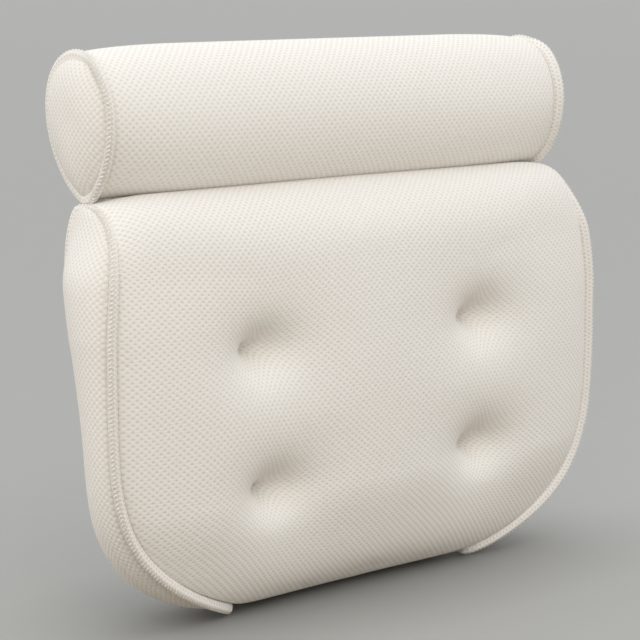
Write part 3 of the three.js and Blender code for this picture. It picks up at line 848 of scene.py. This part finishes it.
def build_gusset(side):
    """A side panel, cut where it is wide enough."""
    sign = SIDES[side]
    z = pad_heights(*SIDE_ROWS)
    z = z[seam_depth(BACK, z) - seam_depth(FRONT, z) > 4 * EDGE_GAP][:, None]
    share = np.linspace(0, 1, 25)[None, :]
    wide = seam_depth(BACK, z) - seam_depth(FRONT, z)
    bulge = sizes().gusset_fullness * wide * np.sin(share * math.pi) ** SIDE_SQUARENESS
    bulge *= 1 - TOP_FLATNESS * ease(z, *TOP_SPAN)
    slope = side_slope(z)
    across = 1 / np.hypot(1, slope)
    half = mix(seam_half_width(FRONT, z), seam_half_width(BACK, z), share)
    x = half - EDGE_GAP / 2 + bulge * across
    y = mix(seam_depth(FRONT, z) + EDGE_GAP, seam_depth(BACK, z) - EDGE_GAP, share)
    points = grid(sign * x, y + FOLD.y, z - bulge * across * slope)
    chart = panel_chart(points, sign * points[..., 1])
    obj = put(f"pad_{side}_side_cloth", laid(points, chart, PAD_MIDDLE))
    settle(obj, rims(obj), *SIDE_SWELL)
    sew(obj, "pad", "mesh_side", f"pad_{side}_gusset", 0.7)


def build_pad_core():
    shares = np.linspace(-CORE_SHARE, CORE_SHARE, 40)[None, :]
    heights = pad_heights(*CORE_ROWS)[:, None]
    front = pad_point(FRONT, shares, heights)
    back = pad_point(BACK, shares, heights[::-1])
    points = np.concatenate([front, back, front[:1]])
    bm = laid(points, points[..., [0, 2]], PAD_MIDDLE)
    bm.normal_update()
    for vert, normal in [(v, v.normal.copy()) for v in bm.verts]:
        vert.co -= normal * (sizes().sheet + FILL_GAP)
    stuff("pad_filling", bm, "pad", "pad_core", 0.8)


# Bound seams

def closed_line(points, count):
    """Evenly spaced points along a closed line."""
    run = along(points)
    return at(np.linspace(0, run[-1], count), run, points)


def smooth_round(values, passes):
    """Evens out vectors along a closed line whose last point is its first."""
    ring = values[:-1]
    for _ in range(passes):
        ring = (np.roll(ring, 1, axis=0) + 2 * ring + np.roll(ring, -1, axis=0)) / 4
    return np.concatenate([ring, ring[:1]])


TOP_SINK = 0.0046  # of the pad's ribs into the cushion towards the fold line, in front
REAR_SINK = 0.0023  # the same behind
REAR_STAND = -0.3  # of the ribs at the back, as a share of their stand in front
PAD_LEAN = 1.5  # of the ribs in front, sideways for each part forward
ROLL_RIB_LEAN = 1.4
RIB_SQUARENESS = 0.85  # power of a rib's section; less is squarer
OVERLOCK_PITCH = 0.0049  # of each thread's turns
OVERLOCK_STEPS = 12  # points in a turn
OVERLOCK_RADIUS = 0.0009  # of the twist
OVERLOCK_SINK = 0.0012  # of the twist's middle under the rib's edge
OVERLOCK_THREAD = 0.0007  # radius of a thread
THREAD_GUIDE = (0.31, 0.42, 0.85)  # a way that no thread runs along


def rib_frames(line, facing):
    """Ways across a rib and out of it, at each point of its closed line."""
    tangent = unit(closed_steps(line))
    across = unit(np.cross(tangent, facing))
    return across, np.cross(across, tangent)


def rib(name, line, facing):
    """A bound edge along a closed line; its section starts at its outer edge."""
    s = sizes()
    across, out = rib_frames(line, facing)
    turns = np.linspace(0, 2 * math.pi, 19)[None, :, None]
    high, wide = (
        np.sign(wave) * np.abs(wave) ** RIB_SQUARENESS * size / 2
        for wave, size in ((np.cos(turns), s.rib_width), (np.sin(turns), s.rib_thickness)))
    points = line[:, None] + out[:, None] * high + across[:, None] * wide
    round_it = turns[..., 0] / (2 * math.pi) * rib_girth()
    return skin(name, points, grid(along(line)[:, None], round_it))


def overlock(name, line, facing, phase):
    """One of the threads that twist round the edge of a rib."""
    run = along(line)
    count = round(run[-1] / OVERLOCK_PITCH)
    even = np.linspace(0, run[-1], count * OVERLOCK_STEPS + 1)
    line, facing = at(even, run, line), at(even, run, facing)
    across, out = rib_frames(line, facing)
    turn = (even / run[-1] * count * 2 * math.pi + phase)[:, None]
    edge = line + out * (sizes().rib_width / 2 - OVERLOCK_SINK)
    path = edge + OVERLOCK_RADIUS * (np.cos(turn) * out + np.sin(turn) * across)
    tangent = unit(closed_steps(path))
    side = unit(np.cross(tangent, THREAD_GUIDE))
    other = np.cross(tangent, side)
    turns = np.linspace(0, 2 * math.pi, 7)[None, :, None]
    ring = np.cos(turns) * side[:, None] + np.sin(turns) * other[:, None]
    points = path[:, None] + OVERLOCK_THREAD * ring
    return skin(name, points, points[..., [0, 2]])


def stood(line, outward, span, sideways):
    """A rib's line and the way it faces: it leans to the side in front and stands back behind."""
    out = outwards(closed_steps(line))
    front = ease(FOLD.y - line[:, 1], 0, span)[:, None]
    facing = unit(smooth_round(unit(out + outward * front * sideways), 12))
    return line + facing * sizes().rib_stand * mix(REAR_STAND, 1, front), facing


def pad_seam(side):
    """Closed line of the rib of a side seam, and the way it faces."""
    sign = SIDES[side]
    heights = pad_heights(*SEAM_ROWS)
    loop = np.concatenate([
        grid(sign * seam_half_width(face, z), seam_depth(face, z) + FOLD.y, z)
        for face, z in ((FRONT, heights), (BACK, heights[::-1][1:]))])
    line = smooth_round(closed_line(loop, 520), 6)
    slope = side_slope(line[:, 2])
    outward = unit(grid(float(sign), 0.0, -slope))
    span = FRONT_SEAM_DEPTH / 2
    front = ease(FOLD.y - line[:, 1], 0, span)
    sink = mix(REAR_SINK, TOP_SINK, front) * ease(line[:, 2], *TOP_SPAN)
    line, facing = stood(line, outward, span, PAD_LEAN)
    return line - facing * sink[:, None], facing


def roll_seam(side):
    """Closed line of the rib round an end of the roll, and the way it faces."""
    sign = SIDES[side]
    points = roll_line(400)[0]
    points[:, 0] = sign * sizes().roll_length / 2
    line = smooth_round(closed_line(points, 240), 3)
    return stood(line, np.array((sign, 0, 0)), sizes().roll_depth / 4, ROLL_RIB_LEAN)


def build_seams():
    for side in SIDES:
        for body, seam in (("pad", pad_seam), ("roll", roll_seam)):
            line, facing = seam(side)
            obj = rib(f"{body}_{side}_rib", line, facing)
            smooth(obj)
            finish_piece(obj, body, "piping", "bound_edge", f"{body}_{side}_piping")
            for name, phase in (("over", 0), ("under", math.pi)):
                thread = overlock(f"{body}_{side}_overlock_{name}", line, facing, phase)
                finish_piece(thread, body, "thread", "twisted_thread")


# Head roll

def roll_skin(count, shares, inset):
    """Points of the roll's cover at shares of its half length, set in from its seam lines."""
    line, out = roll_line(count)
    crown = roll_crown(np.linspace(0, 1, count))[:, None] * fullness(shares, ROLL_FLAT)[None, :]
    points = line[:, None] + out[:, None] * (crown - inset)[..., None]
    points[..., 0] = shares * (sizes().roll_length / 2 - inset - EDGE_GAP)
    return points, along(line)


def near_fold(point):
    return point.z < FOLD.z + FOLD_HOLD


def build_roll_cover():
    points, run = roll_skin(133, spaced(-1, 1, 110, (-1, 1), *CLOSER_ENDS), 0)
    chart = grid(points[..., 0], run[:, None])
    obj = put("roll_cloth", laid(points, chart, ROLL_MIDDLE))
    settle(obj, rims(obj, near_fold), *SIDE_SWELL)
    sew(obj, "roll", "mesh_front", "roll_cover", 0.85)


def build_roll_end(side):
    sign = SIDES[side]
    line, out = roll_line(97)
    edge = line - out * EDGE_GAP
    centre = np.array(ROLL_MIDDLE)
    shares = np.sin(np.linspace(0, math.pi / 2, 26))
    points = centre + (edge[None] - centre) * shares[:, None, None]
    dome = sizes().end_dome * fullness(shares, END_FLAT) - EDGE_GAP
    points[..., 0] = sign * (sizes().roll_length / 2 + dome)[:, None]
    chart = grid(sign * points[..., 1], points[..., 2])
    obj = put(f"roll_{side}_end_cloth", laid(points, chart, ROLL_MIDDLE))
    sew(obj, "roll", "mesh_side", f"roll_{side}_end_panel", 0.7)


def build_roll_core():
    points, _ = roll_skin(49, np.linspace(-1, 1, 40), sizes().sheet + FILL_GAP)
    stuff("roll_filling", laid(points, points[..., [0, 2]], ROLL_MIDDLE), "roll", "roll_core", 0.85)


FOLD_TAPE = {  # reach from the fold line, thickness, and setback from the roll's ends
    "front": 0.010, "back": 0.004, "thickness": 0.0056, "end": 0.006}


def build_fold_seam():
    """Folded cloth that joins the cushions and lines their valley."""
    half = sizes().roll_length / 2 - FOLD_TAPE["end"]
    bm = bmesh.new()
    bmesh.ops.create_grid(bm, x_segments=60, y_segments=8, size=1)
    layer = bm.loops.layers.uv.new("cloth")
    for vert in bm.verts:
        front = FOLD_TAPE["front"] * fullness(vert.co.x, ROLL_FLAT)
        depth = mix(-front, FOLD_TAPE["back"], (vert.co.y + 1) / 2)
        vert.co = (vert.co.x * half, FOLD.y + depth, FOLD.z)
    for face in bm.faces:
        for loop in face.loops:
            loop[layer].uv = loop.vert.co.xy
    obj = put("fold_seam_cloth", bm)
    thicken(obj, FOLD_TAPE["thickness"], 0)
    smooth(obj)
    obj.data.materials.append(finish("mesh_side"))
    with bpy.context.temp_override(object=obj, active_object=obj, selected_objects=[obj]):
        for modifier in ("thickness", "finer"):
            bpy.ops.object.modifier_apply(modifier=modifier)
    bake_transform(obj)
    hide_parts("hinge_seam")


# Tufts, straps and cups

TIE_RADIUS = 0.0009
TIE_KNOT = (0.0021, 0.0010, 0.0013)  # half sizes of one of the two turns of a knot
TIE_TURN = 0.0006  # of the two turns from the knot's middle, across and up
TIE_STAND = {FRONT: 0.0004, BACK: 0.0008}  # of a knot out of the cloth


def build_ties():
    turn = Matrix.Rotation(math.pi / 2, 4, "X")
    for name, (x, z) in tufts().items():
        front, back = (
            pad_point(face, x / seam_half_width(face, z), np.array(z))[1] for face in (FRONT, BACK))
        bm = bmesh.new()
        bmesh.ops.create_cone(
            bm, cap_ends=True, segments=12, radius1=TIE_RADIUS, radius2=TIE_RADIUS,
            depth=back - front, matrix=Matrix.Translation((x, (front + back) / 2, z)) @ turn)
        for y in (front - TIE_STAND[FRONT], back + TIE_STAND[BACK]):
            for lift in (-TIE_TURN, TIE_TURN):
                spot = Matrix.Translation((x + lift, y, z + lift))
                bmesh.ops.create_uvsphere(
                    bm, u_segments=16, v_segments=10, radius=1,
                    matrix=spot @ Matrix.Diagonal((*TIE_KNOT, 1)))
        obj = put(f"tuft_thread_{name}", bm)
        finish_piece(obj, "pad", "thread", "twisted_thread", f"tuft_tie_{name}")


def cup_places():
    """Name and joint of each cup, and the place of a piece made along +Z."""
    for name, joint in JOINTS.items():
        if name.startswith("cup_turn_"):
            turn = Vector(joint["axis"]).to_track_quat("Z", "Y").to_matrix().to_4x4()
            place = Matrix.Translation(joint["pos_m"]) @ turn
            yield name.removeprefix("cup_turn_"), joint, place


CUP_PROFILE = [  # radius and height above the cloth in MM, from head to rim and back inside
    (0, 0.3), (5.6, 0.3), (6.5, 0.9), (6.5, 2.5), (5.8, 3.3), (4.0, 3.4), (4.0, 5.2), (5.6, 5.9),
    (9.0, 7.1), (13.5, 9.6), (18.0, 12.5), (22.0, 15.2), (24.0, 16.3), (24.0, 17.0), (22.0, 17.0),
    (19.0, 14.9), (14.5, 11.9), (9.5, 9.6), (5.0, 8.6), (0, 8.3)]


def build_cups():
    for name, joint, place in cup_places():
        bm = bmesh.new()
        ring = [bm.verts.new((r * MM, 0, h * MM)) for r, h in CUP_PROFILE]
        edges = [bm.edges.new(pair) for pair in zip(ring, ring[1:])]
        bmesh.ops.spin(
            bm, geom=ring + edges, axis=(0, 0, 1), cent=(0, 0, 0), steps=40, angle=2 * math.pi,
            use_merge=True)
        bmesh.ops.remove_doubles(bm, verts=bm.verts, dist=WELD)
        bmesh.ops.recalc_face_normals(bm, faces=bm.faces)
        bmesh.ops.transform(bm, matrix=place, verts=bm.verts)
        obj = put(f"suction_cup_clear_{name}", bm)
        smooth(obj)
        finish_piece(obj, joint["child"], "cup", "clear_pvc", f"suction_cup_{name}")


STRAP_PROFILE = [  # along the strap and above the cloth, in MM
    (-23, 0.3), (-14.5, 0.3), (-8.2, 3.6), (8.2, 3.6), (14.5, 0.3), (23, 0.3)]
STRAP_HALF_WIDTH = 0.010
STRAP_THICKNESS = 0.0012
STRAP_HOLE = 0.0044  # radius of the buttonhole
STITCH_BOX = ((16, -8), (21.5, -8), (21.5, 8), (16, 8), (16, -8))  # at a strap's end, in MM
STITCH_PITCH = 0.0024
STITCH_HEIGHT = 0.0016
STITCH_SHAPE = (0.0009, 0.0003, 0.0003)  # half sizes


def build_straps():
    line = np.array(STRAP_PROFILE) * MM
    run = along(line)
    even = np.linspace(0, run[-1], 47)
    path = at(even, run, line)
    for _ in range(2):
        path[1:-1] = (path[:-2] + 2 * path[1:-1] + path[2:]) / 4
    wide = np.linspace(-STRAP_HALF_WIDTH, STRAP_HALF_WIDTH, 13)[None, :]
    points = grid(path[:, None, 0], wide, path[:, None, 1])
    chart = grid(even[:, None], wide)
    for name, joint, place in cup_places():
        bm = laid(points, chart, (0, 0, -1))
        hole = [f for f in bm.faces if math.hypot(*f.calc_center_median().xy) < STRAP_HOLE]
        bmesh.ops.delete(bm, geom=hole, context="FACES")
        bmesh.ops.transform(bm, matrix=place, verts=bm.verts)
        obj = put(f"cup_webbing_{name}", bm)
        thicken(obj, STRAP_THICKNESS, 1)
        smooth(obj)
        finish_piece(obj, joint["parent"], "webbing", "woven_webbing", f"cup_strap_{name}")
        build_strap_stitches(name, place, joint["parent"])


def build_strap_stitches(name, place, body):
    """Stitched boxes that hold a strap's ends to the cloth."""
    bm = bmesh.new()
    shape = Matrix.Diagonal((*STITCH_SHAPE, 1))
    for end in (-1, 1):
        corners = [(end * a * MM, b * MM) for a, b in STITCH_BOX]
        for (x0, y0), (x1, y1) in zip(corners, corners[1:]):
            turn = Matrix.Rotation(math.atan2(y1 - y0, x1 - x0), 4, "Z")
            count = max(2, round(math.hypot(x1 - x0, y1 - y0) / STITCH_PITCH))
            for k in range(count):
                share = (k + 0.5) / count
                spot = Matrix.Translation((mix(x0, x1, share), mix(y0, y1, share), STITCH_HEIGHT))
                bmesh.ops.create_uvsphere(
                    bm, u_segments=8, v_segments=5, radius=1, matrix=place @ spot @ turn @ shape)
    obj = put(f"cup_webbing_stitches_{name}", bm)
    finish_piece(obj, body, "thread", "twisted_thread")


# Stage

CAMERA_AZIMUTH = math.radians(42.937)
CAMERA_PITCH = math.radians(8.869)
CAMERA_PLACE = Vector((-0.9525, -1.0187, 0.3786))
CAMERA_LENS = 129.72
LAMP_TARGET = Vector((0, 0, 0.18))
LAMPS = {  # place, size, power and colour
    "front_lamp": ((-0.7, -0.9, 0.75), 0.7, 2.0, (1, 0.93, 0.80)),
    "right_lamp": ((0.45, -0.6, 0.95), 0.8, 0.9, (1, 1, 1)),
    "side_lamp": ((-1.3, 0.45, 0.75), 1.0, 3.1, (1, 1, 1))}
SKY_COLOUR = (0.985, 0.995, 1.01)
SKY_STRENGTH = 1.04
FLOOR_RADIUS = 40


def build_camera():
    data = bpy.data.cameras.new("camera")
    data.sensor_width = 36
    data.lens = CAMERA_LENS
    data.clip_start, data.clip_end = 0.05, 50
    camera = linked("camera", data)
    camera.location = CAMERA_PLACE + Vector((0, FOLD.y, 0))
    camera.rotation_euler = (math.pi / 2 - CAMERA_PITCH, 0, -CAMERA_AZIMUTH)
    bpy.context.scene.camera = camera


def build_lamp(name, place, size, power, tint):
    data = bpy.data.lights.new(name, "AREA")
    data.shape = "DISK"
    data.size = size
    data.energy = power
    data.color = tint
    lamp = linked(name, data)
    lamp.location = place
    lamp.rotation_euler = (LAMP_TARGET - Vector(place)).to_track_quat("-Z", "Y").to_euler()


def build_floor():
    """A plain floor, wide enough that its edge is out of sight."""
    bm = bmesh.new()
    bmesh.ops.create_circle(bm, cap_ends=True, segments=64, radius=FLOOR_RADIUS)
    obj = put("pale_floor", bm)
    obj.data.materials.append(finish("pale_sweep"))


def build_world():
    """Light from all round; a camera sees the floor's colour behind the part."""
    world = bpy.context.scene.world or bpy.data.worlds.new("studio")
    bpy.context.scene.world = world
    world.use_nodes = True
    tree = world.node_tree
    tree.nodes.clear()
    pick = tree.nodes.new("ShaderNodeMixShader")
    path = tree.nodes.new("ShaderNodeLightPath")
    tree.links.new(path.outputs["Is Camera Ray"], pick.inputs[0])
    for place, tint, strength in ((1, SKY_COLOUR, SKY_STRENGTH), (2, colours().floor, 1.0)):
        light = tree.nodes.new("ShaderNodeBackground")
        light.inputs["Color"].default_value = (*tint, 1)
        light.inputs["Strength"].default_value = strength
        tree.links.new(light.outputs[0], pick.inputs[place])
    out = tree.nodes.new("ShaderNodeOutputWorld")
    tree.links.new(pick.outputs[0], out.inputs[0])


class PILLOW_OT_pad(Operator):
    """Builds the tufted pad: front, back, sides and filling"""

    bl_idname = "pillow.pad"
    bl_label = "Pad"

    def execute(self, context):
        build_front_panel()
        build_back_panel()
        for side in SIDES:
            build_gusset(side)
        build_pad_core()
        return {"FINISHED"}


class PILLOW_OT_roll(Operator):
    """Builds the head roll: cover, end panels and filling"""

    bl_idname = "pillow.roll"
    bl_label = "Head roll"

    def execute(self, context):
        build_roll_cover()
        for side in SIDES:
            build_roll_end(side)
        build_roll_core()
        return {"FINISHED"}


class PILLOW_OT_seams(Operator):
    """Builds the bound seams, their stitches and the folded tape between the cushions"""

    bl_idname = "pillow.seams"
    bl_label = "Seams"

    def execute(self, context):
        build_seams()
        build_fold_seam()
        return {"FINISHED"}


class PILLOW_OT_tufts(Operator):
    """Builds the threads of the tufts"""

    bl_idname = "pillow.tufts"
    bl_label = "Tufts"

    def execute(self, context):
        build_ties()
        return {"FINISHED"}


class PILLOW_OT_cups(Operator):
    """Builds the suction cups and their straps"""

    bl_idname = "pillow.cups"
    bl_label = "Suction cups"

    def execute(self, context):
        build_cups()
        build_straps()
        return {"FINISHED"}


class PILLOW_OT_stage(Operator):
    """Sets up the floor, lamps and camera"""

    bl_idname = "pillow.stage"
    bl_label = "Stage"

    def execute(self, context):
        context.scene.view_settings.view_transform = "Standard"
        build_floor()
        build_world()
        for name, lamp in LAMPS.items():
            build_lamp(name, *lamp)
        build_camera()
        return {"FINISHED"}


class PILLOW_PT_panel(Panel):
    """Lists the steps and sizes of the pillow"""

    bl_label = "Bath pillow"
    bl_idname = "PILLOW_PT_panel"
    bl_space_type = "VIEW_3D"
    bl_region_type = "UI"
    bl_category = "Pillow"

    def draw(self, context):
        for step in STEPS:
            self.layout.operator(step.bl_idname)
        for group in (context.scene.pillow_sizes, context.scene.pillow_colours):
            for name in group.__annotations__:
                self.layout.prop(group, name)


STEPS = (
    PILLOW_OT_pad, PILLOW_OT_roll, PILLOW_OT_seams, PILLOW_OT_tufts, PILLOW_OT_cups,
    PILLOW_OT_stage)
CLASSES = (PillowSizes, PillowColours, *STEPS, PILLOW_PT_panel)


def register():
    for item in CLASSES:
        bpy.utils.register_class(item)
    bpy.types.Scene.pillow_sizes = PointerProperty(type=PillowSizes)
    bpy.types.Scene.pillow_colours = PointerProperty(type=PillowColours)


def unregister():
    del bpy.types.Scene.pillow_colours
    del bpy.types.Scene.pillow_sizes
    for item in reversed(CLASSES):
        bpy.utils.unregister_class(item)


def main():
    register()
    for step in STEPS:
        group, name = step.bl_idname.split(".")
        getattr(getattr(bpy.ops, group), name)()


if __name__ == "__main__":
    main()
